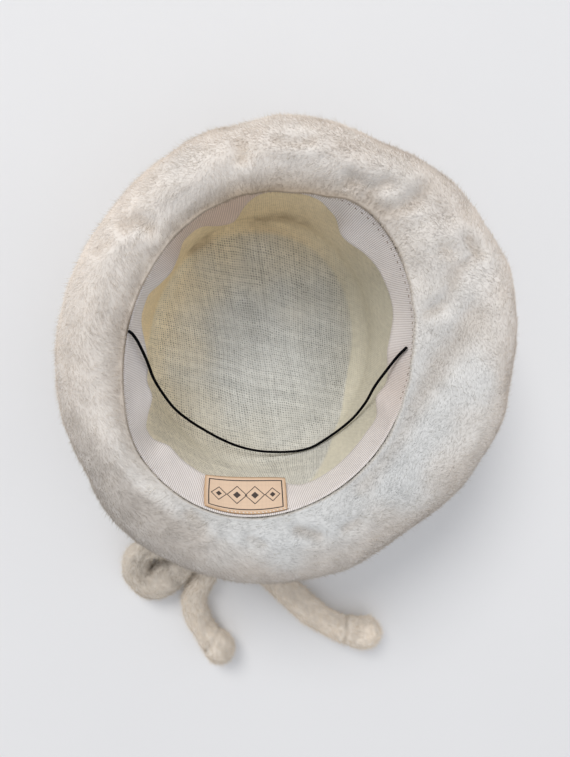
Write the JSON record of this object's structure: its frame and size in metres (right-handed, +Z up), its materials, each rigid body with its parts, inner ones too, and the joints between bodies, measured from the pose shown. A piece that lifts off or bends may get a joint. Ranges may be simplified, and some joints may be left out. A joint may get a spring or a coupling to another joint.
{
  "type": "cloche hat",
  "caption": "Plush felt cloche hat lying on its crown, with a lined head opening, a ribbon sweatband, an elastic and a soft bow.",
  "frame": {"origin": "centre of the flattened crown patch that the hat rests on, on the axis of the head opening", "axes": "+Z up out of the head opening, +Y towards the wearer's front, +X towards the wearer's left; the crown points down"},
  "size_m": [0.2777, 0.3848, 0.1121],
  "materials": {
    "plush_felt": "long-napped fur felt",
    "bow_felt": "napped felt rouleau",
    "buckram": "open stiffened weave",
    "grosgrain_ribbon": "ribbed ribbon",
    "label_satin": "woven satin",
    "elastic_cord": "matt covered elastic"
  },
  "bodies": {
    "root": {"felt_body": "plush_felt", "crown_lining": "buckram", "sweatband": "grosgrain_ribbon", "label": "label_satin", "elastic": "elastic_cord", "bow_knot": "bow_felt", "bow_loop": "bow_felt", "tail_left": "bow_felt", "tail_right": "bow_felt"}
  },
  "joints": []
}
